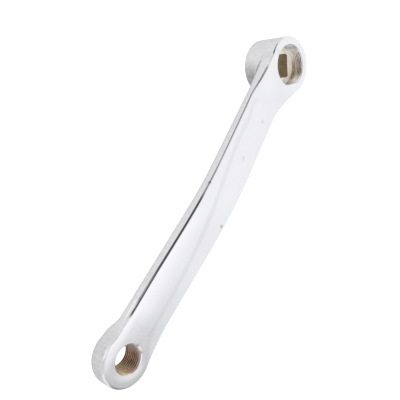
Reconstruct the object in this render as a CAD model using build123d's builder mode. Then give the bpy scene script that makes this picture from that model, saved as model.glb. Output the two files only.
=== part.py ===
# Left crank arm of a bicycle: one steel forging with a square tapered socket for the
# spindle, a recess for the extractor's thread and an eye for the pedal's thread.
# The spindle axis is Z, the arm runs along +X and its outer face looks up.
# The origin is on the spindle axis, in the inner end face of the boss.

import os

from build123d import *

# Driving dimensions, in millimetres and degrees

crank_length = 170.0  # spindle axis to pedal axis

boss_height = 20.5  # inner end face to outer rim
boss_foot_radius = 14.5  # at the inner end
boss_draft = 2.0  # of its side
boss_foot_chamfer = 1.0

extractor_radius = 10.46  # crest of the extractor's thread
extractor_depth = 7.0
extractor_chamfer = 0.4
rim_land = 0.6  # flat ring round the recess

square_across = 12.4  # across the flats, at the outer end
square_taper = 2.0  # of each flat
square_corner = 1.4
square_lead = 0.5

eye_radius = 13.25
eye_lead = 0.55  # the eye's round end is centred this far past the pedal axis
eye_drop = 0.8  # its outer face lies this far below the boss's rim
eye_thickness = 12.0
eye_blend = 30.0  # in plan, from the arm's edge into the eye

pedal_radius = 6.47  # crest of the pedal's thread
pedal_chamfer = 1.1  # at the outer face
pedal_back_chamfer = 0.7

root_width = 25.0  # of the arm at the spindle axis
neck_width = 22.5
neck_blend = 60.0  # in plan, from the root into the shank
shank_width = 24.0  # of the arm at the pedal axis
arm_crown = 0.7  # the middle of the outer face stands this far above its edges
neck_distance = 21.0  # from the spindle axis to the lowest place of the outer face
neck_drop = 2.6  # the outer face's fall there from the boss's rim
neck_slope = 0.05  # rise of the outer face past the neck
bow_distance = 88.0  # from the spindle axis to the highest place of the outer face
bow_rise = 2.6  # of the outer face there above the boss's rim

arm_thickness = 7.6  # to the corners of the inner face, before they are rounded
inner_bow_distance = 85.3  # from the spindle axis to the highest corner of the inner face
eye_step_length = 6.0  # run of the inner face down to the thicker eye
eye_step_depth = 3.6
neck_inner_round = 220.0
bow_inner_round = 200.0
eye_step_round = 6.0

front_round = 1.2
back_round = 4.5
root_round = 3.0

# Places worked out from the sizes

rim_end = extractor_radius + extractor_chamfer + rim_land
eye_start = crank_length - pedal_radius - pedal_chamfer
neck_height = boss_height - neck_drop
bow_height = boss_height + bow_rise
eye_face_height = boss_height - eye_drop
eye_back_height = eye_face_height - eye_thickness
arm_end = crank_length + eye_lead + eye_radius
step_start = eye_start - eye_step_length
stock_height = bow_height + boss_height
cut_reach = boss_height
station_step = 10.0


def ease(start, end, start_value, end_value, start_slope, end_slope, place):
    """Height on a smooth curve between two places whose heights and slopes are known."""
    run = end - start
    t = (place - start) / run
    rise = (3 - 2 * t) * t**2
    bend_in = (1 - t) ** 2 * t
    bend_out = (t - 1) * t**2
    slopes = start_slope * bend_in + end_slope * bend_out
    return start_value + (end_value - start_value) * rise + run * slopes


def face_height(place):
    """Height of the outer face along the middle of the arm."""
    if place <= rim_end:
        return boss_height
    if place <= neck_distance:
        return ease(rim_end, neck_distance, boss_height, neck_height, 0, neck_slope, place)
    if place <= bow_distance:
        return ease(neck_distance, bow_distance, neck_height, bow_height, neck_slope, 0, place)
    if place <= eye_start:
        return ease(bow_distance, eye_start, bow_height, eye_face_height, 0, 0, place)
    return eye_face_height


def face_crown(place):
    """How far the outer face falls from its middle to the arm's edge."""
    if place <= 0 or place >= eye_start:
        return 0.0
    if place <= neck_distance:
        return ease(0, neck_distance, 0, arm_crown, 0, 0, place)
    if place <= step_start:
        return arm_crown
    return ease(step_start, eye_start, arm_crown, 0, 0, 0, place)


# Everything above the crowned and bowed outer face

first_station = -boss_foot_radius - cut_reach
last_station = arm_end + cut_reach
station_count = round((last_station - first_station) / station_step)
stations = [
    first_station + (last_station - first_station) * i / station_count
    for i in range(station_count + 1)
]

with BuildPart() as above_face:
    for station in stations:
        middle = face_height(station)
        edge_fall = face_crown(station) * (2 * cut_reach / neck_width) ** 2
        with BuildSketch(Plane.YZ.offset(station)):
            with BuildLine():
                left = (-cut_reach, middle - edge_fall)
                right = (cut_reach, middle - edge_fall)
                Spline(left, (0, middle), right)
                Polyline(right, (cut_reach, 2 * stock_height), (-cut_reach, 2 * stock_height), left)
            make_face()
    loft()

# The forging, with its machined holes

with BuildPart() as crank_arm:
    # The arm and the eye in plan, as a tall blank
    with BuildSketch() as plan:
        with BuildLine():
            Polyline(
                (0, -root_width / 2),
                (neck_distance, -neck_width / 2),
                (crank_length, -shank_width / 2),
                (crank_length, shank_width / 2),
                (neck_distance, neck_width / 2),
                (0, root_width / 2),
                close=True,
            )
        make_face()
        with Locations((crank_length + eye_lead, 0)):
            Circle(eye_radius)
        fillet(plan.vertices().group_by(Axis.X)[-1], eye_blend)
        fillet(plan.vertices().group_by(Axis.X)[1], neck_blend)
    extrude(amount=stock_height)

    # The inner face: straight runs with rounded corners, lower at the eye
    inner_corners = [
        (neck_distance, neck_height - arm_thickness, neck_inner_round),
        (inner_bow_distance, bow_height - arm_thickness, bow_inner_round),
        (step_start, eye_back_height + eye_step_depth, eye_step_round),
        (eye_start, eye_back_height, eye_step_round),
    ]
    with BuildSketch(Plane.XZ) as below_arm:
        with BuildLine():
            Polyline(
                (0, neck_height - arm_thickness),
                *[(place, height) for place, height, _ in inner_corners],
                (last_station, eye_back_height),
                (last_station, -cut_reach),
                (0, -cut_reach),
                close=True,
            )
        make_face()
        for place, height, corner_round in inner_corners:
            fillet(below_arm.vertices().sort_by_distance((place, height))[0], corner_round)
    extrude(amount=cut_reach, both=True, mode=Mode.SUBTRACT)
    inner_faces = crank_arm.faces().filter_by(lambda face: face.normal_at().Z < -0.5)
    fillet(inner_faces.edges().filter_by(Axis.Y, reverse=True), back_round)

    # The spindle boss and the fillet that carries the arm into it
    with BuildSketch():
        Circle(boss_foot_radius)
    extrude(amount=stock_height, taper=-boss_draft)
    fillet(crank_arm.edges(Select.NEW), root_round)

    # The outer face and its rounded edge
    add(above_face.part, mode=Mode.SUBTRACT)
    outer_face = crank_arm.faces().filter_by(lambda face: face.normal_at().Z > 0.5).sort_by(SortBy.AREA)[-1]
    fillet(outer_face.outer_wire().edges(), front_round)

    # The boss's inner end
    foot_edge = crank_arm.edges().filter_by(GeomType.CIRCLE).group_by(Axis.Z)[0]
    chamfer(foot_edge, boss_foot_chamfer)

    # The extractor's recess
    floor_height = boss_height - extractor_depth
    with BuildSketch(Plane.XZ):
        Polygon(
            (0, floor_height),
            (extractor_radius, floor_height),
            (extractor_radius, boss_height - extractor_chamfer),
            (extractor_radius + 2 * extractor_chamfer, boss_height + extractor_chamfer),
            (0, boss_height + extractor_chamfer),
            align=None,
        )
    revolve(axis=Axis.Z, mode=Mode.SUBTRACT)

    # The square socket, wider at the inner end, with its corners along the arm
    with BuildSketch(Plane.XY.offset(floor_height)):
        RectangleRounded(square_across, square_across, square_corner, rotation=45)
    extrude(amount=-floor_height, taper=-square_taper, mode=Mode.SUBTRACT)
    socket_mouth = crank_arm.faces().sort_by(Axis.Z)[0].inner_wires()[0]
    chamfer(socket_mouth.edges(), square_lead)

    # The pedal hole, countersunk at both faces
    with Locations((crank_length, 0, eye_face_height)):
        CounterSinkHole(pedal_radius, pedal_radius + pedal_chamfer, eye_thickness, 90)
    with Locations(Location((crank_length, 0, eye_back_height), (180, 0, 0))):
        CounterSinkHole(pedal_radius, pedal_radius + pedal_back_chamfer, eye_thickness, 90)

crank_arm.part.label = "crank_arm"

os.makedirs("parts", exist_ok=True)
export_step(crank_arm.part, "parts/crank_arm.step")
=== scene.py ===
"""Looks for a chrome-plated bicycle crank arm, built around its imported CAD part."""

import math
from types import SimpleNamespace

import bmesh
import bpy
import numpy as np
from bpy.props import (
    BoolProperty,
    FloatProperty,
    FloatVectorProperty,
    IntProperty,
    PointerProperty,
)
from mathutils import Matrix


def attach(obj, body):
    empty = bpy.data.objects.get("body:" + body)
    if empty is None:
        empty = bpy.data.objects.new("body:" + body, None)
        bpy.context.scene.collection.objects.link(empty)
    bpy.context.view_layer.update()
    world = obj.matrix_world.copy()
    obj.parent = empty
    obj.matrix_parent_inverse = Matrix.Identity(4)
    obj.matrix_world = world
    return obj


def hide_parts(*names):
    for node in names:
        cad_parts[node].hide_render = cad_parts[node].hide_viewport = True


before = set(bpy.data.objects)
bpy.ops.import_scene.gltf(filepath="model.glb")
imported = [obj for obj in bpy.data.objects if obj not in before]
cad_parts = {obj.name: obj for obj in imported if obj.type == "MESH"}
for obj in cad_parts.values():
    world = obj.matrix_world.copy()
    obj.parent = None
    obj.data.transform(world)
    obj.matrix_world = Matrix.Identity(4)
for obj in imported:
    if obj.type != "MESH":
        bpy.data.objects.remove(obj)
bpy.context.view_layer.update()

bl_info = {
    "name": "Bicycle crank arm",
    "version": (1, 0, 0),
    "blender": (4, 5, 0),
    "location": "View3D > Sidebar > Crank",
    "description": "Forges, drills, taps and plates a left crank arm and sets its stage",
    "category": "Object",
}

MM = 0.001
# step for working out slopes, in millimetres
SMALL = 0.02
ARM_NAME = "crank_arm_forging"
BODY = "root"
CAD_NODE = "crank_arm"


def length(name, description, millimetres):
    """A size of the crank arm, kept in metres."""
    return FloatProperty(
        name=name,
        description=description,
        default=millimetres * MM,
        min=0.0,
        precision=5,
        unit="LENGTH",
        subtype="DISTANCE",
    )


def taper(name, description, degrees):
    """A draft or a taper of the crank arm, kept in radians."""
    return FloatProperty(
        name=name,
        description=description,
        default=math.radians(degrees),
        subtype="ANGLE",
    )


def ratio(name, description, value):
    """A number without a unit."""
    return FloatProperty(name=name, description=description, default=value, min=0.0)


def colour(name, description, red, green, blue):
    """A colour that the finish of the crank arm uses."""
    return FloatVectorProperty(
        name=name,
        description=description,
        default=(red, green, blue, 1.0),
        min=0.0,
        max=1.0,
        size=4,
        subtype="COLOR",
    )


class ForgingSizes(bpy.types.PropertyGroup):
    """Sizes of the forging, those of the CAD part and a few of its polished skin."""

    crank_length: length("Crank length", "Spindle axis to pedal axis", 170.0)
    boss_height: length("Boss height", "Inner end face to outer rim", 20.5)
    boss_foot_radius: length("Boss radius", "Radius of the boss at its inner end", 14.5)
    boss_draft: taper("Boss draft", "Draft of the boss's side", 2.0)
    boss_foot_round: length("Boss foot round", "Round at the boss's inner end", 2.0)
    rim_end: length("Rim end", "Where the flat rim ends on the arm's side", 11.46)
    rim_curl: length("Rim curl", "How much sooner the rim ends at the arm's edges", 3.0)
    eye_radius: length("Eye radius", "Radius of the pedal eye", 13.25)
    eye_lead: length("Eye lead", "How far past the pedal axis the eye is centred", 0.55)
    eye_drop: length("Eye drop", "Fall of the eye's face from the boss's rim", 0.8)
    eye_thickness: length("Eye thickness", "Thickness of the pedal eye", 12.0)
    eye_blend: length("Eye blend", "Radius in plan from the arm into the eye", 30.0)
    eye_start: length("Eye start", "Where the flat face of the eye starts", 162.43)
    eye_fall: length("Eye fall", "Fall of the polished eye from its middle to its edge", 0.25)
    eye_lean: ratio("Eye lean", "Slope that polishing left on the eye towards the arm's end", 0.026)
    eye_lean_start: length("Eye lean start", "Where the eye starts to lean", 157.0)
    eye_lean_run: length("Eye lean run", "Run over which the lean comes in", 9.0)
    eye_flat_start: length("Eye flat start", "Where the arm's crown starts to give way to the eye", 150.0)
    root_width: length("Root width", "Width of the arm at the spindle axis", 25.0)
    root_flare: length("Root flare", "Widening of each side from the neck to the boss", 2.95)
    root_start: length("Root start", "Where the flared sides leave the boss", 4.5)
    neck_width: length("Neck width", "Width of the arm at its neck", 22.5)
    neck_blend: length("Neck blend", "Radius in plan at the neck", 60.0)
    shank_width: length("Shank width", "Width of the arm at the pedal axis", 24.0)
    arm_crown: length("Crown", "Rise of the outer face from its edges to its middle", 0.7)
    neck_distance: length("Neck distance", "Spindle axis to the neck", 21.0)
    neck_drop: length("Neck drop", "Fall of the outer face from the rim to the neck", 2.6)
    neck_slope: ratio("Neck slope", "Rise of the outer face past the neck", 0.05)
    bow_distance: length("Bow distance", "Spindle axis to the top of the bow", 88.0)
    bow_rise: length("Bow rise", "Rise of the bow's top above the rim", 2.6)
    arm_thickness: length("Arm thickness", "Thickness to the inner face's corners", 7.6)
    inner_bow_distance: length("Inner bow distance", "Spindle axis to the inner bow", 85.3)
    eye_step_length: length("Step length", "Run of the inner face down to the eye", 6.0)
    eye_step_depth: length("Step depth", "Depth of the step down to the eye", 3.6)
    neck_inner_round: length("Neck inner round", "Round of the inner face at the neck", 220.0)
    bow_inner_round: length("Bow inner round", "Round of the inner face at the bow", 200.0)
    eye_step_round: length("Step round", "Round of the step's two corners", 6.0)
    front_round: length("Front round", "Round of the outer face's edge", 1.2)
    bow_extra_round: length("Bow round", "Growth of the edge's round past the bow", 0.4)
    shank_extra_round: length("Shank round", "Growth of the edge's round before the eye", 0.4)
    back_round: length("Back round", "Round of the inner face's edge", 4.5)
    root_round: length("Root round", "Fillet between the arm and the boss", 3.0)
    station_step: length("Station step", "Spacing of the outer face's sections", 10.0)
    mesh_step: length("Mesh step", "Size of the skin's faces", 0.55)


class HoleSizes(bpy.types.PropertyGroup):
    """Sizes of the holes and their threads."""

    extractor_radius: length("Recess radius", "Crest of the extractor's thread", 10.46)
    extractor_root_radius: length("Recess root radius", "Root of the extractor's thread", 10.98)
    extractor_pitch: length("Recess pitch", "Pitch of the extractor's thread", 1.0)
    extractor_depth: length("Recess depth", "Depth of the recess", 7.0)
    extractor_chamfer: length("Recess chamfer", "Chamfer of the recess's rim", 0.4)
    thread_relief: length("Thread relief", "Plain wall between the thread and the floor", 1.4)
    square_across: length("Square", "Across the flats of the socket's outer end", 12.4)
    square_taper: taper("Square taper", "Taper of each flat of the socket", 2.0)
    square_corner: length("Square corner", "Radius of the socket's corners", 1.4)
    square_lead: length("Square lead", "Chamfer of the socket's mouth", 0.5)
    pedal_radius: length("Pedal radius", "Crest of the pedal's thread", 6.47)
    pedal_root_radius: length("Pedal root radius", "Root of the pedal's thread", 7.12)
    pedal_pitch: length("Pedal pitch", "Pitch of the pedal's thread", 1.27)
    pedal_chamfer: length("Pedal chamfer", "Countersink at the outer face", 1.1)
    pedal_back_chamfer: length("Pedal back chamfer", "Countersink at the inner face", 0.7)
    pedal_left_hand: BoolProperty(
        name="Left-hand pedal thread",
        description="Left cranks have a left-hand pedal thread",
        default=True,
    )
    round_steps: IntProperty(
        name="Round steps",
        description="Sides of the round holes",
        default=128,
        min=24,
    )


class FinishColours(bpy.types.PropertyGroup):
    """Colours of the plated and the bare surfaces."""

    plate: colour("Plate", "Bright chrome plate", 0.56, 0.56, 0.565)
    # also the colour of painted shade on the plate and on the recess's wall
    dull_plate_and_shade: colour("Dull plate", "Chrome plate with a film of dirt", 0.24, 0.24, 0.245)
    tapped: colour("Tapped wall", "Plated thread of the recess", 0.9, 0.895, 0.88)
    stain: colour("Stain", "Brown stain at the recess's floor", 0.42, 0.28, 0.14)
    bare_floor: colour("Bare floor", "Faced floor of the recess", 1.0, 0.93, 0.82)
    socket: colour("Socket", "Stained flats of the square socket", 0.33, 0.25, 0.125)
    # its pale colour also paints highlights on the plate's edges and in the pedal's thread
    rubbed_and_highlight: colour("Rubbed plate", "Plate rubbed dull on its edges", 0.78, 0.78, 0.78)
    rust: colour("Rust", "Rust in the pedal's thread", 0.2, 0.092, 0.048)
    pale_rust: colour("Pale rust", "Worn thread towards the arm's end", 0.56, 0.43, 0.28)
    grime: colour("Grime", "Dark dirt in corners and nicks", 0.07, 0.055, 0.045)


class StageSettings(bpy.types.PropertyGroup):
    """The floor, the light and the camera."""

    camera_place: FloatVectorProperty(
        name="Camera place",
        description="Where the camera stands",
        default=(0.17667, -0.178113, 0.212566),
        subtype="TRANSLATION",
    )
    camera_turn: FloatVectorProperty(
        name="Camera turn",
        description="How the camera is turned",
        default=(math.radians(-9.0038), math.radians(-43.7111), math.radians(129.5904)),
        subtype="EULER",
    )
    camera_lens: FloatProperty(
        name="Lens",
        description="Focal length on a sensor 36 mm wide",
        default=51.816,
        unit="CAMERA",
    )
    floor_colour: colour("Floor", "Pale paper floor", 0.22, 0.22, 0.22)
    floor_glow: ratio("Floor glow", "Light that comes through the floor, as from a light table", 1.12)
    floor_half: length("Floor half size", "Half the side of the floor", 4000.0)


def millimetres(group):
    """The group's lengths in millimetres, its other values as they are."""
    values = {}
    for key in group.__annotations__:
        value = getattr(group, key)
        is_length = group.bl_rna.properties[key].unit == "LENGTH"
        values[key] = value / MM if is_length else value
    return SimpleNamespace(**values)


def ease(start, end, start_value, end_value, start_slope, end_slope, place):
    """Height on a smooth curve between two places whose heights and slopes are known."""
    run = end - start
    t = (place - start) / run
    rise = (3 - 2 * t) * t**2
    bend_in = (1 - t) ** 2 * t
    bend_out = (t - 1) * t**2
    slopes = start_slope * bend_in + end_slope * bend_out
    return start_value + (end_value - start_value) * rise + run * slopes


def smooth(low, high, value):
    """A soft step from zero to one."""
    t = np.clip((value - low) / (high - low), 0, 1)
    return t * t * (3 - 2 * t)


def band(places, value):
    """One between the middle two of four places, falling softly to zero at the outer two."""
    start, full, fall, end = places
    return smooth(start, full, value) * smooth(end, fall, value)


def spline_bends(places, heights):
    """Second derivatives of the natural cubic spline through evenly spaced places."""
    count = len(places)
    step = places[1] - places[0]
    matrix = np.eye(count)
    target = np.zeros(count)
    for i in range(1, count - 1):
        matrix[i, i - 1 : i + 2] = (1, 4, 1)
        target[i] = 6 * (heights[i - 1] - 2 * heights[i] + heights[i + 1]) / step**2
    return np.linalg.solve(matrix, target)


def spline_height(places, heights, bends, x):
    """Height of the spline at x."""
    step = places[1] - places[0]
    i = np.clip(((x - places[0]) / step).astype(int), 0, len(places) - 2)
    a = (places[i + 1] - x) / step
    b = 1 - a
    curve = ((a**3 - a) * bends[i] + (b**3 - b) * bends[i + 1]) * step**2 / 6
    return a * heights[i] + b * heights[i + 1] + curve


def rounded_run(corners, x):
    """Height at x of straight runs from corner to corner, with each corner's radius rounded."""
    places = [c[0] for c in corners]
    heights = [c[1] for c in corners]
    out = np.interp(x, places, heights)
    for k in range(1, len(corners) - 1):
        radius = corners[k][2]
        before = math.atan2(heights[k] - heights[k - 1], places[k] - places[k - 1])
        after = math.atan2(heights[k + 1] - heights[k], places[k + 1] - places[k])
        reach = radius * math.tan(abs(after - before) / 2)
        side = 1 if after > before else -1
        start_x = places[k] - reach * math.cos(before)
        start_z = heights[k] - reach * math.sin(before)
        end_x = places[k] + reach * math.cos(after)
        centre_x = start_x - side * radius * math.sin(before)
        centre_z = start_z + side * radius * math.cos(before)
        bent = (x > start_x) & (x < end_x)
        drop = np.sqrt(np.maximum(radius**2 - (x - centre_x) ** 2, 0))
        out = np.where(bent, centre_z - side * drop, out)
    return out


def sloped(curve, x):
    """Height of a curve at x and its slope there."""
    return curve(x), (curve(x + SMALL) - curve(x - SMALL)) / (2 * SMALL)


def round_inside(a, b, radius):
    """Both shapes at once, with the edge where their square faces meet rounded."""
    outer = np.hypot(np.maximum(a + radius, 0), np.maximum(b + radius, 0))
    return np.minimum(np.maximum(a, b), -radius) + outer


def gradient(field, points):
    """Direction in which a field grows, at each point."""
    parts = []
    for axis in range(3):
        shift = np.zeros(3)
        shift[axis] = SMALL
        parts.append((field(points + shift) - field(points - shift)) / (2 * SMALL))
    return np.stack(parts, axis=1)


def unit(vectors):
    """Vectors of length one."""
    return vectors / np.maximum(np.linalg.norm(vectors, axis=1, keepdims=True), 1e-9)


# where the rim's fall stops bending, past the neck, and where the edge's round grows, past the bow
CURL_PAST_NECK = 5.0
BOW_EDGE_RUN = (-13.0, 12.0)
SHANK_EDGE_RUN = (40.0, 60.0)


class Forging:
    """The forging's skin as a field: below zero in the steel, above zero outside it."""

    def __init__(self, sizes):
        s = self.sizes = sizes
        self.neck_height = s.boss_height - s.neck_drop
        self.bow_height = s.boss_height + s.bow_rise
        self.eye_face = s.boss_height - s.eye_drop
        self.eye_back = self.eye_face - s.eye_thickness
        self.eye_centre = s.crank_length + s.eye_lead
        self.step_start = s.eye_start - s.eye_step_length
        self.arm_end = self.eye_centre + s.eye_radius
        reach = s.boss_height
        first = -s.boss_foot_radius - reach
        last = self.arm_end + reach
        count = round((last - first) / s.station_step)
        self.stations = np.linspace(first, last, count + 1)
        self.middles = np.array([self.face_middle(x) for x in self.stations])
        self.middle_bends = spline_bends(self.stations, self.middles)
        neck = self.neck_height - s.arm_thickness
        self.inner_corners = [
            (first, neck, 0),
            (s.neck_distance, neck, s.neck_inner_round),
            (s.inner_bow_distance, self.bow_height - s.arm_thickness, s.bow_inner_round),
            (self.step_start, self.eye_back + s.eye_step_depth, s.eye_step_round),
            (s.eye_start, self.eye_back, s.eye_step_round),
            (last, self.eye_back, 0),
        ]
        self.side_corners = [
            (0, s.root_width / 2, 0),
            (s.root_start, s.neck_width / 2 + s.root_flare, 0),
            (s.neck_distance, s.neck_width / 2, s.neck_blend),
            (s.crank_length, s.shank_width / 2, 0),
        ]
        self.set_eye_blend()

    def set_eye_blend(self):
        """Centre of the arc that carries the arm's edge into the eye, and its start."""
        s = self.sizes
        slope = (s.shank_width - s.neck_width) / 2 / (s.crank_length - s.neck_distance)
        lift = s.eye_blend * math.hypot(1, slope)
        edge_at_eye = s.neck_width / 2 + slope * (self.eye_centre - s.neck_distance) + lift
        apart = s.eye_blend + s.eye_radius
        # the centre is on the offset edge and an eye and a blend radius from the eye's centre
        a = 1 + slope**2
        b = 2 * slope * edge_at_eye
        c = edge_at_eye**2 - apart**2
        back = (-b - math.sqrt(b**2 - 4 * a * c)) / (2 * a)
        self.blend_x = self.eye_centre + back
        self.blend_y = edge_at_eye + slope * back
        self.blend_start = self.blend_x + s.eye_blend * slope / math.hypot(1, slope)

    def face_middle(self, x):
        """Height of the outer face along the middle of the arm."""
        s = self.sizes
        if x <= s.rim_end:
            return s.boss_height
        if x <= s.neck_distance:
            return ease(s.rim_end, s.neck_distance, s.boss_height, self.neck_height, 0, s.neck_slope, x)
        if x <= s.bow_distance:
            ends = (s.neck_distance, s.bow_distance, self.neck_height, self.bow_height)
            return ease(*ends, s.neck_slope, 0, x)
        if x <= s.eye_start:
            return ease(s.bow_distance, s.eye_start, self.bow_height, self.eye_face, 0, 0, x)
        return self.eye_face

    def face_height(self, x, y):
        """Height of the crowned and bowed outer face, with its flat eye polished off at the edge."""
        s = self.sizes
        curl = s.rim_curl * (2 * y / s.root_width) ** 2
        curl = curl * smooth(s.neck_distance + CURL_PAST_NECK, s.rim_end, x)
        middle = spline_height(self.stations, self.middles, self.middle_bends, x + curl)
        at_eye = smooth(s.eye_flat_start, s.crank_length, x)
        crown = s.arm_crown * smooth(0, s.neck_distance, x) * (1 - at_eye)
        from_eye = np.hypot(np.maximum(x - self.eye_centre, 0), y) / s.eye_radius
        past = (x - s.eye_lean_start) / s.eye_lean_run
        t = np.clip(past, 0, 1)
        leaned = s.eye_lean_run * (t**3 - t**4 / 2 + np.maximum(past - 1, 0))
        fall = s.eye_fall * at_eye * from_eye**4 + s.eye_lean * leaned
        return middle - crown * (2 * y / s.neck_width) ** 2 - fall

    def outer_face(self, p):
        """Distance above the outer face."""
        x, y, z = p.T
        height, along = sloped(lambda place: self.face_height(place, y), x)
        _, across = sloped(lambda place: self.face_height(x, place), y)
        return (z - height) / np.sqrt(1 + along**2 + across**2)

    def inner_face(self, p):
        """Distance below the inner face."""
        height, slope = sloped(lambda x: rounded_run(self.inner_corners, x), p[:, 0])
        return (height - p[:, 2]) / np.sqrt(1 + slope**2)

    def side(self, p):
        """Distance outside the arm and the eye in plan."""
        s = self.sizes
        x = p[:, 0]
        y = np.abs(p[:, 1])
        half, slope = sloped(lambda place: rounded_run(self.side_corners, place), x)
        edge = (y - half) / np.sqrt(1 + slope**2)
        eye = np.hypot(x - self.eye_centre, y) - s.eye_radius
        blend = s.eye_blend - np.hypot(x - self.blend_x, y - self.blend_y)
        to_eye_x = self.eye_centre - self.blend_x
        to_eye_y = -self.blend_y
        turn = to_eye_x * (y - self.blend_y) - to_eye_y * (x - self.blend_x)
        out = np.where(turn > 0, eye, blend)
        out = np.where(x < self.blend_start, edge, out)
        return np.maximum(out, -x)

    def arm(self, p):
        """The arm and the eye, without their outer face."""
        return round_inside(self.side(p), self.inner_face(p), self.sizes.back_round)

    def boss(self, p):
        """The drafted spindle boss, without its outer face."""
        s = self.sizes
        radius = s.boss_foot_radius + p[:, 2] * math.tan(s.boss_draft)
        wall = (np.hypot(p[:, 0], p[:, 1]) - radius) * math.cos(s.boss_draft)
        return round_inside(wall, -p[:, 2], s.boss_foot_round)

    def blank(self, p):
        """The arm joined to the boss by a fillet."""
        s = self.sizes
        arm = self.arm(p)
        near = p[:, 0] < s.neck_distance + s.root_round
        if not near.any():
            return arm
        q = p[near]
        a = arm[near]
        b = self.boss(q)
        joined = np.minimum(a, b)
        r = s.root_round
        close = (a < r) & (b < r) & (joined > -r)
        if close.any():
            n = unit(gradient(self.arm, q[close]))
            m = unit(gradient(self.boss, q[close]))
            lean = (n * m).sum(axis=1)
            spread = np.maximum(1 - lean**2, 1e-4)
            u = ((r - a[close]) - lean * (r - b[close])) / spread
            v = ((r - b[close]) - lean * (r - a[close])) / spread
            rolled = r - np.sqrt(np.maximum(u**2 + v**2 + 2 * u * v * lean, 0))
            between = (u > 0) & (v > 0) & (spread > 1e-3)
            joined[close] = np.where(between, np.minimum(joined[close], rolled), joined[close])
        out = arm.copy()
        out[near] = joined
        return out

    def skin(self, p):
        """The whole forging, before its holes."""
        return round_inside(self.blank(p), self.outer_face(p), self.edge_round(p[:, 0]))

    def edge_round(self, x):
        """Radius of the outer face's edge, wider past the bow and widest before the eye."""
        s = self.sizes
        past_bow = s.bow_extra_round * smooth(*BOW_EDGE_RUN, x - s.bow_distance)
        shank = s.shank_extra_round * smooth(*SHANK_EDGE_RUN, x - s.bow_distance)
        before_eye = smooth(s.eye_start, s.eye_flat_start, x)
        return s.front_round + (past_bow + shank) * before_eye


def in_blocks(field, points, size=200000):
    """A field at many points, worked out in blocks to save memory."""
    return np.concatenate([field(points[i : i + size]) for i in range(0, len(points), size)])


def net_over(field, low, high, step):
    """Vertices and four-sided faces over the surface where the field is zero."""
    counts = [int(math.ceil((end - start) / step)) + 1 for start, end in zip(low, high)]
    axes = [start + step * np.arange(count) for start, count in zip(low, counts)]
    grid = np.stack(np.meshgrid(*axes, indexing="ij"), axis=-1).reshape(-1, 3)
    values = in_blocks(field, grid).reshape(counts)
    inside = values < 0
    cells = [n - 1 for n in counts]
    total = np.zeros(cells, int)
    corners = [(i, j, k) for i in (0, 1) for j in (0, 1) for k in (0, 1)]

    def at(array, corner):
        i, j, k = corner
        return array[i : i + cells[0], j : j + cells[1], k : k + cells[2]]

    for corner in corners:
        total += at(inside, corner)
    mixed = (total > 0) & (total < 8)
    index = np.full(cells, -1)
    index[mixed] = np.arange(mixed.sum())
    sums = np.zeros((mixed.sum(), 3))
    hits = np.zeros(mixed.sum())
    for axis in range(3):
        for corner in corners:
            if corner[axis]:
                continue
            other = list(corner)
            other[axis] = 1
            start = at(values, corner)[mixed]
            end = at(values, other)[mixed]
            cross = (start < 0) != (end < 0)
            share = np.where(cross, start / np.where(cross, start - end, 1), 0)
            place = np.tile(np.array(corner, float), (len(share), 1))
            place[:, axis] = share
            sums += place * cross[:, None]
            hits += cross
    where = np.argwhere(mixed)
    points = np.array(low) + step * (where + sums / hits[:, None])
    faces = []
    for axis in range(3):
        one, two = [a for a in range(3) if a != axis]
        start = [slice(None)] * 3
        end = [slice(None)] * 3
        start[axis] = slice(0, -1)
        end[axis] = slice(1, None)
        change = inside[tuple(start)] != inside[tuple(end)]
        spots = np.argwhere(change)
        kept = (spots[:, one] > 0) & (spots[:, two] > 0)
        kept &= (spots[:, one] < cells[one]) & (spots[:, two] < cells[two])
        spots = spots[kept]
        outward = inside[tuple(start)][tuple(spots.T)]
        ring = []
        for back_one, back_two in ((1, 1), (0, 1), (0, 0), (1, 0)):
            spot = spots.copy()
            spot[:, one] -= back_one
            spot[:, two] -= back_two
            ring.append(index[tuple(spot.T)])
        quads = np.stack(ring, axis=1)
        flip = outward if axis == 1 else ~outward
        quads[flip] = quads[flip][:, ::-1]
        faces.append(quads)
    return points, np.concatenate(faces)


def settle(field, points, faces, rounds):
    """Moves vertices onto the surface and evens them out along it."""
    links = np.concatenate([faces[:, [i, (i + 1) % 4]] for i in range(4)])
    links = np.concatenate([links, links[:, ::-1]])
    degree = np.bincount(links[:, 0], minlength=len(points))
    flattest = 0.05
    pull = 0.6
    for turn in range(rounds + 1):
        for _ in range(2):
            slope = gradient(field, points)
            size = np.maximum((slope**2).sum(axis=1), flattest)
            points = points - slope * (field(points) / size)[:, None]
        if turn == rounds:
            break
        normal = unit(slope)
        mean = np.stack(
            [np.bincount(links[:, 0], points[links[:, 1], a], len(points)) for a in range(3)], axis=1
        ) / degree[:, None]
        move = pull * (mean - points)
        points = points + move - normal * (move * normal).sum(axis=1)[:, None]
    return points


def new_object(name, points, faces):
    """A mesh object from points in millimetres."""
    mesh = bpy.data.meshes.new(name)
    mesh.from_pydata((np.asarray(points) * MM).tolist(), [], [list(map(int, f)) for f in faces])
    mesh.validate()
    mesh.update()
    piece = bpy.data.objects.new(name, mesh)
    bpy.context.scene.collection.objects.link(piece)
    return piece


def turned(name, profile, centre, steps):
    """A closed cutter turned from a profile of radius and height, both ends on the axis."""
    points = [(centre[0], centre[1], profile[0][1])]
    for radius, height in profile[1:-1]:
        for i in range(steps):
            angle = 2 * math.pi * i / steps
            x = centre[0] + radius * math.cos(angle)
            y = centre[1] + radius * math.sin(angle)
            points.append((x, y, height))
    points.append((centre[0], centre[1], profile[-1][1]))
    rings = len(profile) - 2
    faces = []
    for i in range(steps):
        j = (i + 1) % steps
        faces.append((0, 1 + j, 1 + i))
        for ring in range(rings - 1):
            low = 1 + ring * steps
            high = low + steps
            faces.append((low + i, low + j, high + j, high + i))
        top = 1 + (rings - 1) * steps
        faces.append((top + i, top + j, len(points) - 1))
    return new_object(name, points, faces)


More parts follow.
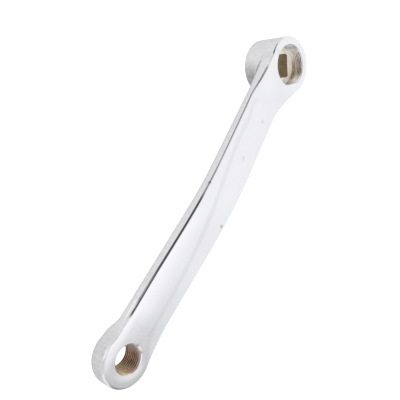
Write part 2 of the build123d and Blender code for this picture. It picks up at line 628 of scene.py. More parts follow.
def square_loop(across, corner, height, steps=8):
    """A square with rounded corners that point along X and Y."""
    half = across / 2 - corner
    points = []
    for quarter in range(4):
        angle = math.pi / 4 + quarter * math.pi / 2
        middle_x = half * math.sqrt(2) * math.cos(angle)
        middle_y = half * math.sqrt(2) * math.sin(angle)
        for i in range(steps + 1):
            turn = quarter * math.pi / 2 + math.pi / 2 * i / steps
            points.append((middle_x + corner * math.cos(turn), middle_y + corner * math.sin(turn)))
    lean = math.sqrt(0.5)
    return [((x - y) * lean, (x + y) * lean, height) for x, y in points]


def lofted(name, loops):
    """A closed cutter through loops of as many points each, from the lowest to the highest."""
    count = len(loops[0])
    points = [p for loop in loops for p in loop]
    faces = [tuple(reversed(range(count)))]
    for k in range(len(loops) - 1):
        for i in range(count):
            j = (i + 1) % count
            low = k * count
            faces.append((low + i, low + j, low + count + j, low + count + i))
    faces.append(tuple(range((len(loops) - 1) * count, len(loops) * count)))
    return new_object(name, points, faces)


class Wiring:
    """Adds nodes to a tree and wires them, with numbers or sockets as their inputs."""

    def __init__(self, tree):
        self.tree = tree

    def put(self, socket, value):
        """Wires a socket into another one, or sets the value that it holds."""
        if isinstance(value, bpy.types.NodeSocket):
            self.tree.links.new(value, socket)
        else:
            socket.default_value = value

    def node(self, kind, inputs=(), **settings):
        """A new node with its settings, then its inputs."""
        made = self.tree.nodes.new(kind)
        for key, value in settings.items():
            setattr(made, key, value)
        for key, value in dict(inputs).items():
            self.put(made.inputs[key], value)
        return made

    def math(self, operation, *values):
        """The result of a sum on numbers or sockets."""
        return self.node("ShaderNodeMath", enumerate(values), operation=operation).outputs[0]

    def times(self, first, *others):
        """The product of numbers or sockets."""
        for other in others:
            first = self.math("MULTIPLY", first, other)
        return first

    def plus(self, a, b):
        """The sum of two numbers or sockets."""
        return self.math("ADD", a, b)

    def minus(self, a, b):
        """The difference of two numbers or sockets."""
        return self.math("SUBTRACT", a, b)

    def most(self, a, b):
        """The larger of two numbers or sockets."""
        return self.math("MAXIMUM", a, b)

    def step(self, value, low, high, from_value=0.0, to_value=1.0):
        """A soft step from one value to another as the input goes from low to high."""
        inputs = enumerate((value, low, high, from_value, to_value))
        return self.node("ShaderNodeMapRange", inputs, interpolation_type="SMOOTHSTEP").outputs[0]

    def number(self, share, a, b):
        """A number part of the way from a to b."""
        return self.node("ShaderNodeMix", {0: share, 2: a, 3: b}, data_type="FLOAT").outputs[0]

    def tint(self, share, a, b):
        """A colour part of the way from a to b."""
        return self.node("ShaderNodeMix", {0: share, 6: a, 7: b}, data_type="RGBA").outputs[2]

    def object_place(self):
        """The place on the piece."""
        return self.node("ShaderNodeTexCoord").outputs["Object"]

    def stretched(self, place, x, y, z):
        """The place with each axis scaled."""
        return self.node("ShaderNodeMapping", {"Vector": place, "Scale": (x, y, z)}).outputs[0]

    def noise(self, place, scale, detail=2.0, output="Fac"):
        """Cloudy noise with the given number of clouds in a metre."""
        inputs = {"Vector": place, "Scale": scale, "Detail": detail}
        return self.node("ShaderNodeTexNoise", inputs).outputs[output]

    def attribute(self, name):
        """A value stored on the piece's points."""
        return self.node("ShaderNodeAttribute", attribute_name=name).outputs["Fac"]

    def axes(self, place):
        """The three coordinates of a place."""
        return self.node("ShaderNodeSeparateXYZ", {0: place}).outputs

    def from_axis(self, place, centre_x=0.0):
        """Distance of a place from an upright axis."""
        inputs = {"Vector": place, "Location": (-centre_x, 0, 0), "Scale": (1, 1, 0)}
        return self.vector("LENGTH", self.node("ShaderNodeMapping", inputs).outputs[0])

    def vector(self, operation, *values):
        """The result of a sum on vectors."""
        made = self.node("ShaderNodeVectorMath", enumerate(values), operation=operation)
        return made.outputs["Value" if operation in ("LENGTH", "DISTANCE") else "Vector"]

    def spots(self, place, spots):
        """Ragged spots, each with a place and a radius in millimetres, and a strength."""
        reach = 2.0 * MM
        outside = 1.4
        inside = 0.4
        ragged = self.noise(place, 1400, 2, "Color")
        shift = self.vector("MULTIPLY_ADD", ragged, (reach,) * 3, (-reach / 2,) * 3)
        moved = self.vector("ADD", place, shift)
        mask = None
        for x, y, z, radius, strength in spots:
            centre = (x * MM, y * MM, z * MM)
            away = self.vector("DISTANCE", moved, centre)
            spot = self.step(away, radius * MM * outside, radius * MM * inside, 0.0, strength)
            mask = spot if mask is None else self.most(mask, spot)
        return mask

    def bump(self, height, depth):
        """A bumped normal, its depth in metres."""
        inputs = {"Height": height, "Distance": depth, "Strength": 1.0}
        return self.node("ShaderNodeBump", inputs).outputs[0]


def thread_tree():
    """Node tree that sweeps a groove's section along a helix."""
    tree = bpy.data.node_groups.new("Thread groove", "GeometryNodeTree")
    sizes = ("Root Radius", "Depth", "Half Width", "Root Half Width", "Height", "Turns")
    inputs = [(label, "Float") for label in sizes]
    inputs += [("Right Hand", "Bool"), ("Centre", "Vector"), ("Steel", "Material")]
    for label, kind in inputs:
        tree.interface.new_socket(label, in_out="INPUT", socket_type="NodeSocket" + kind)
    tree.interface.new_socket("Geometry", in_out="OUTPUT", socket_type="NodeSocketGeometry")
    w = Wiring(tree)
    given = w.node("NodeGroupInput").outputs
    turn = {
        "Resolution": 96,
        "Rotations": given["Turns"],
        "Start Radius": given["Root Radius"],
        "End Radius": given["Root Radius"],
        "Height": given["Height"],
        "Reverse": given["Right Hand"],
    }
    helix = w.node("GeometryNodeCurveSpiral", turn)
    upright = w.node("GeometryNodeSetCurveNormal", {"Curve": helix.outputs["Curve"]}, mode="Z_UP")
    # the section's side that faces the axis changes with the helix's hand
    hand = w.math("MULTIPLY_ADD", given["Right Hand"], -2.0, 1.0)
    depth = w.times(hand, given["Depth"])
    corners = (
        (depth, given["Half Width"], 1.0),
        (0.0, given["Root Half Width"], 1.0),
        (0.0, given["Root Half Width"], -1.0),
        (depth, given["Half Width"], -1.0),
    )
    section = w.node("GeometryNodeCurvePrimitiveQuadrilateral", mode="POINTS")
    for i, (inward, half, side) in enumerate(corners):
        place = w.node("ShaderNodeCombineXYZ", {"X": inward, "Y": w.times(half, side)})
        w.put(section.inputs[f"Point {i + 1}"], place.outputs["Vector"])
    path = {"Curve": upright.outputs["Curve"], "Profile Curve": section.outputs["Curve"]}
    sweep = w.node("GeometryNodeCurveToMesh", {**path, "Fill Caps": True})
    moved = {"Geometry": sweep.outputs["Mesh"], "Translation": given["Centre"]}
    move = w.node("GeometryNodeTransform", moved)
    real = w.node("GeometryNodeRealizeInstances", {"Geometry": move.outputs["Geometry"]})
    painted = {"Geometry": real.outputs["Geometry"], "Material": given["Steel"]}
    paint = w.node("GeometryNodeSetMaterial", painted)
    w.node("NodeGroupOutput", {"Geometry": paint.outputs["Geometry"]})
    return tree


def thread_groove(name, tree, values):
    """The groove of one thread as a plain mesh object."""
    holder = new_object(name + "_holder", [], [])
    modifier = holder.modifiers.new("Thread", "NODES")
    modifier.node_group = tree
    for item in tree.interface.items_tree:
        if item.in_out == "INPUT":
            modifier[item.identifier] = values[item.name]
    bpy.context.view_layer.update()
    made = holder.evaluated_get(bpy.context.evaluated_depsgraph_get())
    mesh = bpy.data.meshes.new_from_object(made)
    holder.modifiers.remove(modifier)
    bpy.data.objects.remove(holder)
    groove = bpy.data.objects.new(name, mesh)
    bpy.context.scene.collection.objects.link(groove)
    face_outwards(groove)
    return groove


def face_outwards(piece):
    """Merges doubles and turns the faces of a closed mesh outwards."""
    work = bmesh.new()
    work.from_mesh(piece.data)
    bmesh.ops.remove_doubles(work, verts=work.verts, dist=1e-7)
    bmesh.ops.recalc_face_normals(work, faces=work.faces)
    work.to_mesh(piece.data)
    work.free()


def cut(piece, cutter):
    """Takes a cutter out of a piece, then removes the cutter."""
    modifier = piece.modifiers.new("Cut", "BOOLEAN")
    modifier.operation = "DIFFERENCE"
    modifier.solver = "MANIFOLD"
    modifier.object = cutter
    bpy.context.view_layer.update()
    made = piece.evaluated_get(bpy.context.evaluated_depsgraph_get())
    mesh = bpy.data.meshes.new_from_object(made)
    piece.modifiers.remove(modifier)
    old = piece.data
    if len(mesh.polygons) <= len(old.polygons) // 2:
        raise RuntimeError(f"{cutter.name} could not be cut out of {piece.name}")
    mesh.name = old.name
    piece.data = mesh
    bpy.data.meshes.remove(old)
    bpy.data.objects.remove(cutter)


def forging_of(scene):
    """The forging's field from the sizes in the scene."""
    return Forging(millimetres(scene.crank_forging))


def forge(forging):
    """The arm, the boss and the eye in one piece."""
    s = forging.sizes
    top_radius = s.boss_foot_radius + s.boss_height * math.tan(s.boss_draft)
    margin = 2.5 * s.mesh_step
    low = (-top_radius - margin, -top_radius - margin, -margin)
    high = (forging.arm_end + margin, top_radius + margin, forging.bow_height + margin)
    points, faces = net_over(forging.skin, low, high, s.mesh_step)
    points = settle(forging.skin, points, faces, rounds=4)
    piece = new_object(ARM_NAME, points, faces)
    face_outwards(piece)
    return piece


def drill(arm, forging, h):
    """Turns the recess, broaches the square socket and drills the pedal hole."""
    rim = forging.sizes.boss_height
    floor = rim - h.extractor_depth
    over = 4.0
    recess = [
        (0, floor),
        (h.extractor_radius, floor),
        (h.extractor_radius, rim - h.extractor_chamfer),
        (h.extractor_radius + h.extractor_chamfer + over, rim + over),
        (0, rim + over),
    ]
    cut(arm, turned("recess_cutter", recess, (0, 0), h.round_steps))
    grow = 2 * math.tan(h.square_taper)
    lap = 0.5
    mouth = h.square_across + grow * (floor - h.square_lead)
    mouth_corner = h.square_corner + grow / 2 * (floor - h.square_lead)
    flare = 2 * h.square_lead
    loops = [
        square_loop(mouth + 2 * flare, mouth_corner + flare, -h.square_lead),
        square_loop(mouth, mouth_corner, h.square_lead),
        square_loop(h.square_across - grow * lap, h.square_corner - grow / 2 * lap, floor + lap),
    ]
    cut(arm, lofted("socket_cutter", loops))
    face = forging.eye_face
    back = forging.eye_back
    pedal = [
        (0, back - over),
        (h.pedal_radius + h.pedal_back_chamfer + over, back - over),
        (h.pedal_radius, back + h.pedal_back_chamfer),
        (h.pedal_radius, face - h.pedal_chamfer),
        (h.pedal_radius + h.pedal_chamfer + over, face + over),
        (0, face + over),
    ]
    centre = (forging.sizes.crank_length, 0)
    cut(arm, turned("pedal_cutter", pedal, centre, h.round_steps))


def tap(arm, forging, h):
    """Taps the extractor's thread and the pedal's thread."""
    tree = thread_tree()
    steel = bpy.data.materials.get("bare steel") or bpy.data.materials.new("bare steel")
    rim = forging.sizes.boss_height
    floor = rim - h.extractor_depth
    past = 1.0
    inset = 0.1
    root_share = 0.06
    flank = math.tan(math.radians(30))
    threads = (
        (
            "extractor_groove",
            (0.0, 0.0, floor + h.thread_relief),
            h.extractor_radius,
            h.extractor_root_radius,
            h.extractor_pitch,
            rim + past,
            False,
        ),
        (
            "pedal_groove",
            (forging.sizes.crank_length, 0.0, forging.eye_back - past),
            h.pedal_radius,
            h.pedal_root_radius,
            h.pedal_pitch,
            forging.eye_face + past,
            h.pedal_left_hand,
        ),
    )
    for name, start, crest, root, pitch, top, left in threads:
        depth = root - crest + inset
        root_half = root_share * pitch
        height = top - start[2]
        values = {
            "Root Radius": root * MM,
            "Depth": depth * MM,
            "Half Width": (root_half + depth * flank) * MM,
            "Root Half Width": root_half * MM,
            "Height": height * MM,
            "Turns": height / pitch,
            "Right Hand": not left,
            "Centre": tuple(c * MM for c in start),
            "Steel": steel,
        }
        cut(arm, thread_groove(name, tree, values))


def new_material(name, base, metallic, roughness):
    """A node material, its shader and the wiring of its tree."""
    material = bpy.data.materials.get(name) or bpy.data.materials.new(name)
    material.use_nodes = True
    shader = material.node_tree.nodes["Principled BSDF"]
    shader.inputs["Base Color"].default_value = base
    shader.inputs["Metallic"].default_value = metallic
    shader.inputs["Roughness"].default_value = roughness
    return material, shader, Wiring(material.node_tree)


NICKS = (
    # place, radius and strength
    (35.35, 2.91, 18.92, 1.2, 0.16),
    (60.0, 1.16, 21.47, 1.2, 0.14),
    (95.06, 8.72, 22.59, 0.9, 0.5),
    (82.94, -11.2, 21.98, 0.8, 0.5),
    (162.8, 0.58, 19.35, 0.8, 0.6),
    (164.66, 4.46, 19.09, 0.9, 0.6),
)
RUST_SPOTS = (
    (173.17, -12.99, 18.12, 0.6, 0.3),
    (170.65, -13.25, 17.65, 0.55, 0.22),
)


def plate_material(c):
    """Bright chrome plate, polished on the outer face and grainy on the forged sides, with painted shade
    and painted highlights.
    """
    material, shader, w = new_material("chrome plate", c.plate, 1.0, 0.1)
    place = w.object_place()
    polish = w.attribute("polish")
    film_and_shade = w.attribute("film_and_shade")
    rubbed_and_highlight = w.attribute("rubbed_and_highlight")
    waves = w.noise(place, 170, 2)
    grain = w.noise(place, 1500, 3)
    streaks = w.noise(w.stretched(place, 1.0, 1.0, 0.35), 700, 3)
    unpolished = w.minus(1.0, polish)
    nicks = w.spots(place, NICKS)
    rust = w.spots(place, RUST_SPOTS)
    # plate darkened by painted shade by the boss's foot, in the root's crease and on the eye's end rim,
    # and darker on the eye's side and face
    cloudy_and_shade = w.times(film_and_shade, w.step(streaks, 0.2, 0.75, 0.8, 1.1))
    mottled = w.times(unpolished, w.step(w.number(0.5, grain, streaks), 0.3, 0.7, 0.23, 0.07))
    bright = w.times(unpolished, w.step(w.noise(place, 700, 4), 0.4, 0.75, 0.0, 0.14))
    colour = w.tint(w.most(cloudy_and_shade, mottled), c.plate, c.dull_plate_and_shade)
    colour = w.tint(bright, colour, c.rubbed_and_highlight)
    # painted highlights on the left edges, the arm's end and beside the pedal hole, in the pale colour of
    # rubbed plate
    colour = w.tint(w.times(rubbed_and_highlight, 0.7), colour, c.rubbed_and_highlight)
    colour = w.tint(nicks, colour, c.grime)
    colour = w.tint(rust, colour, c.rust)
    w.put(shader.inputs["Base Color"], colour)
    rough = w.number(polish, 0.2, 0.07)
    rough = w.plus(rough, w.times(w.attribute("hazy"), 0.18))
    rough = w.plus(rough, w.times(w.most(nicks, rust), 0.4))
    rough = w.number(rubbed_and_highlight, rough, 0.6)
    w.put(shader.inputs["Roughness"], rough)
    height = w.times(grain, unpolished, 0.9)
    height = w.plus(height, waves)
    height = w.minus(height, w.times(nicks, 1.5))
    w.put(shader.inputs["Normal"], w.bump(height, 0.02 * MM))
    shader.inputs["Specular Tint"].default_value = (0.72, 0.72, 0.74, 1.0)
    return material


def recess_material(c, floor, rim):
    """Tapped wall of the recess, stained brown towards its floor, with painted shade on one side of the
    wall, deeper down towards the arm and at its chamfer.
    """
    material, shader, w = new_material("tapped recess", c.tapped, 1.0, 0.22)
    place = w.object_place()
    axes = w.axes(place)
    low = w.step(axes["Z"], (floor + 3.2) * MM, (floor + 1.0) * MM)
    across = w.math("MULTIPLY_ADD", axes["X"], -0.45, w.times(axes["Y"], 0.9))
    outer = w.step(across, 7.5 * MM, 10.2 * MM)
    blotch = w.step(w.noise(place, 420, 3), 0.35, 0.65)
    stain = w.times(low, outer, w.number(blotch, 0.75, 1.0))
    # painted shade on the wall's side away from the arm
    towards_end = w.math("MULTIPLY_ADD", axes["X"], -0.77, w.times(axes["Y"], -0.64))
    recess_shade = w.step(towards_end, 8.3 * MM, 10.0 * MM, 0.0, 0.65)
    # painted shade deeper in the recess on its side towards the arm, partly tinted with the brown stain
    corner = w.step(axes["Z"], (rim - 1.0) * MM, (rim - 5.0) * MM, 0.25, 0.78)
    corner = w.times(corner, w.step(axes["X"], 0.5 * MM, 3.0 * MM))
    recess_shade = w.most(recess_shade, corner)
    stain = w.most(stain, w.times(corner, 0.35))
    colour = w.tint(recess_shade, c.tapped, c.dull_plate_and_shade)
    colour = w.tint(stain, colour, c.stain)
    # painted shade at the top of the wall and on its chamfer
    colour = w.tint(w.step(axes["Z"], (rim - 0.55) * MM, (rim - 0.3) * MM, 0.0, 0.3), colour, c.dull_plate_and_shade)
    w.put(shader.inputs["Base Color"], colour)
    lip = w.step(axes["Z"], (rim - 0.6) * MM, (rim - 0.35) * MM, 0.2, 0.5)
    w.put(shader.inputs["Roughness"], w.most(lip, w.number(stain, 0.2, 0.45)))
    return material


def floor_material(c):
    """Faced floor of the recess with the tool's rings."""
    material, shader, w = new_material("bare floor", c.bare_floor, 0.0, 0.4)
    place = w.object_place()
    rings = w.math("SINE", w.times(w.from_axis(place), 2 * math.pi / (0.5 * MM)))
    blotch = w.noise(place, 350, 3)
    share = w.plus(w.times(rings, 0.06), w.step(blotch, 0.35, 0.75, 0.0, 0.1))
    w.put(shader.inputs["Base Color"], w.tint(share, c.bare_floor, c.stain))
    w.put(shader.inputs["Normal"], w.bump(rings, 0.01 * MM))
    return material


def socket_material(c):
    """Broached flats of the square socket, stained with old grease."""
    material, shader, w = new_material("socket steel", c.socket, 0.3, 0.45)
    place = w.object_place()
    broach = w.noise(w.stretched(place, 1.0, 1.0, 0.05), 1800, 2)
    blotch = w.noise(place, 300, 3)
    share = w.plus(w.step(broach, 0.35, 0.7, 0.0, 0.35), w.step(blotch, 0.4, 0.7, 0.0, 0.35))
    w.put(shader.inputs["Base Color"], w.tint(share, c.socket, c.grime))
    w.put(shader.inputs["Normal"], w.bump(broach, 0.05 * MM))
    return material


def thread_material(c, h, centre_x, mouth):
    """Rusted steel of the pedal's thread, paler towards the arm's end, with painted highlights on the side
    towards the boss and at its mouth.
    """
    material, shader, w = new_material("bare steel", c.rust, 0.8, 0.34)
    place = w.object_place()
    axes = w.axes(place)
    pale = w.step(axes["X"], (centre_x - 1.0) * MM, (centre_x + 6.5) * MM)
    blotch = w.noise(place, 260, 3)
    from_axis = w.from_axis(place, centre_x * MM)
    worn = w.step(from_axis, h.pedal_radius * MM, (h.pedal_radius + 0.35) * MM, 0.25, 0.0)
    colour = w.tint(worn, c.rust, c.pale_rust)
    colour = w.tint(w.step(blotch, 0.35, 0.7, 0.0, 0.5), colour, c.grime)
    # painted highlight of the thread's crests on the bore's side towards the boss
    crest_glint = w.step(axes["X"], (centre_x - 3.0) * MM, (centre_x - 6.6) * MM, 0.0, 0.22)
    colour = w.tint(crest_glint, colour, c.rubbed_and_highlight)
    colour = w.tint(w.times(pale, w.step(blotch, 0.2, 0.6, 1.0, 0.7)), colour, c.pale_rust)
    # painted highlight towards the bore's mouth, leaving the bore darker deeper down
    lip = w.step(axes["Z"], (mouth - 3.5) * MM, mouth * MM, 0.0, 0.3)
    lip = w.times(lip, w.step(axes["X"], (centre_x + 4.0) * MM, centre_x * MM))
    colour = w.tint(lip, colour, c.rubbed_and_highlight)
    w.put(shader.inputs["Base Color"], colour)
    w.put(shader.inputs["Roughness"], w.step(blotch, 0.3, 0.7, 0.3, 0.45))
    return material


def countersink_material(c, centre_x, mouth):
    """Turned countersinks of the pedal hole, worn and specked with dirt."""
    material, shader, w = new_material("turned countersink", c.rubbed_and_highlight, 1.0, 0.4)
    place = w.object_place()
    axes = w.axes(place)
    specks = w.spots(place, NICKS[-2:])
    low = w.step(axes["Z"], (mouth - 0.9) * MM, (mouth - 0.2) * MM, 0.9, 0.3)
    stain = w.times(low, w.step(axes["X"], centre_x * MM, (centre_x + 5.0) * MM))
    colour = w.tint(stain, c.rubbed_and_highlight, c.pale_rust)
    w.put(shader.inputs["Base Color"], w.tint(specks, colour, c.grime))
    w.put(shader.inputs["Roughness"], w.step(w.noise(place, 900, 2), 0.3, 0.7, 0.36, 0.5))
    return material


def read(items, key, width=1, kind=float):
    """One number of each item of a mesh, or one row of numbers."""
    values = np.empty(len(items) * width, kind)
    items.foreach_get(key, values)
    return values if width == 1 else values.reshape(-1, width)


# places of the finishes in the arm's list of materials, after the plate
RECESS = 1
FLOOR = 2
SOCKET = 3
THREAD = 4
COUNTERSINK = 5


def plate(arm, forging, h, c):
    """Plates the forging and stains its bare holes."""
    mesh = arm.data
    mesh.materials.clear()
    floor = forging.sizes.boss_height - h.extractor_depth
    for material in (
        plate_material(c),
        recess_material(c, floor, forging.sizes.boss_height),
        floor_material(c),
        socket_material(c),
        thread_material(c, h, forging.sizes.crank_length, forging.eye_face),
        countersink_material(c, forging.sizes.crank_length, forging.eye_face),
    ):
        mesh.materials.append(material)
    count = len(mesh.polygons)
    centres = read(mesh.polygons, "center", 3) / MM
    skin_gap = 0.01
    floor_gap = 0.02
    wall_gap = 0.1
    thread_lap = 0.45
    sharp = math.radians(28)
    from_spindle = np.hypot(centres[:, 0], centres[:, 1])
    from_pedal = np.hypot(centres[:, 0] - forging.sizes.crank_length, centres[:, 1])
    in_hole = from_spindle < h.extractor_root_radius + h.extractor_chamfer
    in_hole |= from_pedal < h.pedal_radius + h.pedal_chamfer + wall_gap
    deep = in_hole & (in_blocks(forging.skin, centres) < -skin_gap)
    kind = np.zeros(count, int)
    in_boss = deep & (from_spindle < from_pedal)
    kind[in_boss & (centres[:, 2] > floor)] = RECESS
    kind[in_boss & (np.abs(centres[:, 2] - floor) < floor_gap)] = FLOOR
    kind[in_boss & (centres[:, 2] < floor - floor_gap)] = SOCKET
    in_eye = deep & (from_pedal < from_spindle)
    bore_top = forging.eye_face - h.pedal_chamfer
    bore_end = forging.eye_back + h.pedal_back_chamfer
    kind[in_eye] = COUNTERSINK
    in_bore = (centres[:, 2] < bore_top + thread_lap) & (centres[:, 2] > bore_end)
    kind[in_eye & in_bore] = THREAD
    mesh.polygons.foreach_set("material_index", kind)
    mesh.polygons.foreach_set("use_smooth", np.ones(count, bool))
    mesh.set_sharp_from_angle(angle=sharp)
    mesh.update()
    true = shade_by_field(mesh, forging, ~deep)
    store_wear_and_painted_light(mesh, forging, true)


# where the wear, the painted shade and the painted highlights come in and where they are full, in
# millimetres, degrees or the upward share of the normal
POLISH_LEAN = (0.2, 0.75)
FLAT_LEAN = (0.92, 0.992)
LEFT_SIDE = (2.0, -2.0)
FOOT_TURN = (75.0, 22.0)
FOOT_HEIGHT = (13.0, 6.0)
FOOT_REACH = (17.5, 15.5)
CREASE_REACH = (1.3, 0.2)
CREASE_ALONG = (24.0, 18.0)
EYE_SIDE_ALONG = (150.0, 172.0)
END_RIM_REACH = (11.6, 13.0)
END_RIM_LEAN = (0.35, 0.6)
EYE_FACE_DARK_ALONG = (146.0, 158.0)
EYE_FACE_DARK_ACROSS = (-9.5, -6.5)
STREAK_ALONG = (170.0, 174.0)
RING_REACH = (11.4, 8.0)
# the same for wear, painted shade and painted highlights that go again: where they come in, are full,
# start to go and are gone
EDGE_LEAN = (0.35, 0.65, 0.92, 0.992)
LOW_EDGE_LEAN = (0.0, 0.15, 0.6, 0.8)
EYE_EDGE_ALONG = (152.0, 156.0, 170.0, 175.0)
BOSS_EDGE_ALONG = (4.0, 7.0, 10.0, 13.0)
LOW_EDGE_ALONG = (145.0, 149.0, 153.0, 157.0)
HAZE_ALONG = (6.0, 11.0, 26.0, 30.0)
END_RIM_TURN = (-12.0, 10.0, 65.0, 95.0)
STREAK_TURN = (-45.0, -34.0, -13.0, -6.0)
RING_TURN = (-45.0, 40.0, 70.0, 125.0)


def store_wear_and_painted_light(mesh, forging, normals):
    """Stores how polished and how dull the plate is at each point, and where painted shade and painted
    highlights fall on it.
    """
    points = read(mesh.vertices, "co", 3) / MM
    x, y, z = points.T
    upward = normals[:, 2]
    polish = smooth(*POLISH_LEAN, upward)
    flat = smooth(*FLAT_LEAN, upward)
    edge = band(EDGE_LEAN, upward)
    left = smooth(*LEFT_SIDE, y)
    past_eye = x - forging.eye_centre
    from_end = np.degrees(np.arctan2(y, past_eye))
    past_pedal = x - forging.sizes.crank_length
    about_pedal = np.degrees(np.arctan2(y, past_pedal))
    # painted shade by the boss's foot, in the crease at the arm's root and on the eye's end rim, and a
    # darker plate on the eye's side and on its face
    around = np.degrees(np.arctan2(np.abs(y), x))
    foot = smooth(*FOOT_TURN, around) * smooth(*FOOT_HEIGHT, z) * smooth(*FOOT_REACH, np.hypot(x, y))
    apart = np.abs(in_blocks(forging.arm, points)) + np.abs(in_blocks(forging.boss, points))
    crease = smooth(*CREASE_REACH, apart) * smooth(*CREASE_ALONG, x)
    eye_side = smooth(*EYE_SIDE_ALONG, x) * (1 - polish)
    end_rim = smooth(*END_RIM_REACH, np.hypot(past_eye, y)) * smooth(*END_RIM_LEAN, upward)
    end_rim = end_rim * band(END_RIM_TURN, from_end)
    eye_face_dark = flat * smooth(*EYE_FACE_DARK_ALONG, x) * smooth(*EYE_FACE_DARK_ACROSS, y)
    film_and_shade = [foot, 0.25 * crease, 0.38 * eye_side, 0.85 * end_rim, 0.24 * eye_face_dark]
    film_and_shade = np.clip(np.max(film_and_shade, axis=0), 0, 1)
    # plate rubbed dull on the left edges, on the arm's end and beside the pedal hole, where its paler
    # colour is a painted highlight
    left_edge = edge * left * (band(EYE_EDGE_ALONG, x) + band(BOSS_EDGE_ALONG, x))
    low_edge = left * band(LOW_EDGE_LEAN, upward) * band(LOW_EDGE_ALONG, x)
    streak = edge * band(STREAK_TURN, from_end) * smooth(*STREAK_ALONG, x)
    ring = flat * smooth(*RING_REACH, np.hypot(past_pedal, y)) * band(RING_TURN, about_pedal)
    rubbed_and_highlight = np.max([left_edge, low_edge, streak, 0.7 * ring], axis=0)
    hazy = band(HAZE_ALONG, x) * polish
    for name, values in (("polish", polish), ("film_and_shade", film_and_shade), ("rubbed_and_highlight", rubbed_and_highlight), ("hazy", hazy)):
        stored = mesh.attributes.new(name, "FLOAT", "POINT")
        stored.data.foreach_set("value", values.astype(np.float32))


def shade_by_field(mesh, forging, on_skin):
    """Gives the skin's corners the true normals of the forging."""
    points = read(mesh.vertices, "co", 3) / MM
    true = in_blocks(lambda block: unit(gradient(forging.skin, block)), points, size=100000)
    normals = read(mesh.corner_normals, "vector", 3)
    corner_vertex = read(mesh.loops, "vertex_index", kind=int)
    skin_corner = np.repeat(on_skin, read(mesh.polygons, "loop_total", kind=int))
    normals[skin_corner] = true[corner_vertex[skin_corner]]
    mesh.normals_split_custom_set(normals.tolist())
    return true


class CRANK_OT_arm(bpy.types.Operator):
    """Forge the arm in one piece, drill and tap its holes, plate it and stand it in for the CAD part"""

    bl_idname = "crank.arm"
    bl_label = "Make the crank arm"

    def execute(self, context):
        forging = forging_of(context.scene)
        holes = millimetres(context.scene.crank_holes)
        arm = forge(forging)
        drill(arm, forging, holes)
        tap(arm, forging, holes)
        plate(arm, forging, holes, context.scene.crank_finish)
        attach(arm, BODY)
        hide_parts(CAD_NODE)
        return {"FINISHED"}


PANELS = (
    # azimuth, half width and soft edge, elevation from and to, soft edge, light
    (105.0, 18.0, 16.0, -40.0, 72.0, 10.0, 1.48),
    (150.0, 32.0, 14.0, -40.0, 72.0, 10.0, 1.56),
    (-20.0, 40.0, 20.0, -90.0, 75.0, 10.0, 1.1),
    (-72.0, 16.0, 8.0, -90.0, 70.0, 15.0, 1.6),
    (26.0, 8.0, 10.0, -20.0, 50.0, 15.0, 1.55),
    (57.0, 30.0, 12.0, -35.0, 45.0, 10.0, 1.12),
    (59.0, 9.0, 14.0, -35.0, 48.0, 12.0, 0.72),
    (102.0, 10.0, 12.0, 68.0, 75.0, 21.0, 1.75),
)
SLITS = (
    # lean along the arm, half width and soft edge, turn about the arm from and to, soft edge, light
    (-0.04, 0.04, 0.1, 30.0, 74.0, 13.0, 0.8),
    (-0.57, 0.06, 0.1, -4.0, 38.0, 13.0, 0.4),
    (-0.385, 0.05, 0.09, 16.0, 62.0, 13.0, 0.5),
    (-0.185, 0.1, 0.05, 29.0, 75.0, 13.0, 0.12),
    (-0.06, 0.03, 0.05, 54.0, 80.0, 12.0, 0.16),
)
TENT_LIGHT = 1.25
TENT_COLOUR = (0.995, 0.998, 1.02, 1.0)
# the tent's seam, in degrees: where it is highest, how it bends, its height, its soft width and ends
SEAM_TOP = 115.0
SEAM_BEND = 0.011
SEAM_HEIGHT = 47.0
SEAM_WIDTH = (2.6, 0.4)
SEAM_MIDDLE = 118.0
SEAM_REACH = (34.0, 24.0)
# share of the light that the seam takes away
SEAM_GREY = 0.1


def studio_light():
    """A pale tent around the stage, with soft panels and dark gaps in its walls."""
    world = bpy.data.worlds.new("studio")
    world.use_nodes = True
    w = Wiring(world.node_tree)
    axes = w.axes(w.node("ShaderNodeTexCoord").outputs["Generated"])
    azimuth = w.math("DEGREES", w.math("ARCTAN2", axes["Y"], axes["X"]))
    elevation = w.math("DEGREES", w.math("ARCSINE", axes["Z"]))
    light = TENT_LIGHT

    def patch(light, beside, up, half, soft, low, high, rise, value):
        mask = w.step(w.math("ABSOLUTE", beside), half + soft, half)
        mask = w.times(mask, w.step(up, low - rise, low))
        mask = w.times(mask, w.step(up, high + rise, high))
        return w.number(mask, light, value)

    for middle, *edges in PANELS:
        beside = w.math("WRAP", w.minus(azimuth, middle), 180.0, -180.0)
        light = patch(light, beside, elevation, *edges)
    turn = w.math("DEGREES", w.math("ARCTAN2", axes["Z"], w.times(axes["Y"], -1.0)))
    for middle, *edges in SLITS:
        light = patch(light, w.minus(axes["X"], middle), turn, *edges)
    # the seam between the tent's wall and its roof, a faint grey line across the outer face
    away = w.math("POWER", w.minus(azimuth, SEAM_TOP), 2.0)
    seam = w.plus(elevation, w.times(away, SEAM_BEND))
    seam = w.step(w.math("ABSOLUTE", w.minus(seam, SEAM_HEIGHT)), *SEAM_WIDTH)
    beside = w.math("ABSOLUTE", w.minus(azimuth, SEAM_MIDDLE))
    seam = w.times(seam, w.step(beside, *SEAM_REACH))
    light = w.times(light, w.minus(1.0, w.times(seam, SEAM_GREY)))
    back = world.node_tree.nodes["Background"]
    back.inputs["Color"].default_value = TENT_COLOUR
    w.put(back.inputs["Strength"], light)
    return world


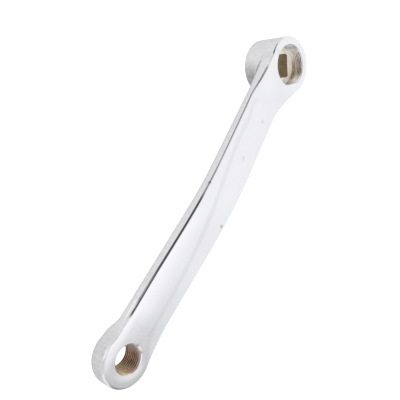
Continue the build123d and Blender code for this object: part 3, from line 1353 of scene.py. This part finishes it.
class CRANK_OT_stage(bpy.types.Operator):
    """Lay the pale floor, light it softly and set up the camera"""

    bl_idname = "crank.stage"
    bl_label = "Set the stage"

    def execute(self, context):
        scene = context.scene
        st = scene.crank_stage
        forging = forging_of(scene)
        s = forging.sizes
        front = s.boss_foot_radius - s.boss_foot_round
        far = forging.arm_end - s.back_round
        slope = forging.eye_back / (far - front)
        half = st.floor_half / MM
        gap = 0.02
        points = []
        for x, y in ((-half, -half), (half, -half), (half, half), (-half, half)):
            points.append((x, y, (x - front) * slope - gap))
        floor = new_object("floor", points, [(0, 1, 2, 3)])
        paper, shader, _ = new_material("floor paper", st.floor_colour, 0.0, 0.9)
        shader.inputs["Emission Color"].default_value = (1.0, 1.0, 1.0, 1.0)
        shader.inputs["Emission Strength"].default_value = st.floor_glow
        floor.data.materials.append(paper)
        scene.world = studio_light()
        lens = bpy.data.cameras.new("camera")
        lens.lens = st.camera_lens
        lens.sensor_width = 36.0
        lens.clip_start = 0.005
        camera = bpy.data.objects.new("camera", lens)
        scene.collection.objects.link(camera)
        camera.location = st.camera_place
        camera.rotation_euler = st.camera_turn
        scene.camera = camera
        scene.view_settings.view_transform = "Standard"
        return {"FINISHED"}


class CRANK_PT_panel(bpy.types.Panel):
    """Lists the crank arm's operators and sizes"""

    bl_idname = "CRANK_PT_panel"
    bl_label = "Crank arm"
    bl_space_type = "VIEW_3D"
    bl_region_type = "UI"
    bl_category = "Crank"

    def draw(self, context):
        layout = self.layout
        for operator in OPERATORS:
            layout.operator(operator.bl_idname)
        for name in GROUPS:
            group = getattr(context.scene, name)
            box = layout.box()
            for key in group.__annotations__:
                box.prop(group, key)


OPERATORS = (CRANK_OT_arm, CRANK_OT_stage)
GROUPS = {
    "crank_forging": ForgingSizes,
    "crank_holes": HoleSizes,
    "crank_finish": FinishColours,
    "crank_stage": StageSettings,
}
CLASSES = (*GROUPS.values(), *OPERATORS, CRANK_PT_panel)


def register():
    for cls in CLASSES:
        bpy.utils.register_class(cls)
    for name, group in GROUPS.items():
        setattr(bpy.types.Scene, name, PointerProperty(type=group))


def unregister():
    for name in GROUPS:
        delattr(bpy.types.Scene, name)
    for cls in reversed(CLASSES):
        bpy.utils.unregister_class(cls)


def main():
    register()
    bpy.ops.crank.arm()
    bpy.ops.crank.stage()


if __name__ == "__main__":
    main()
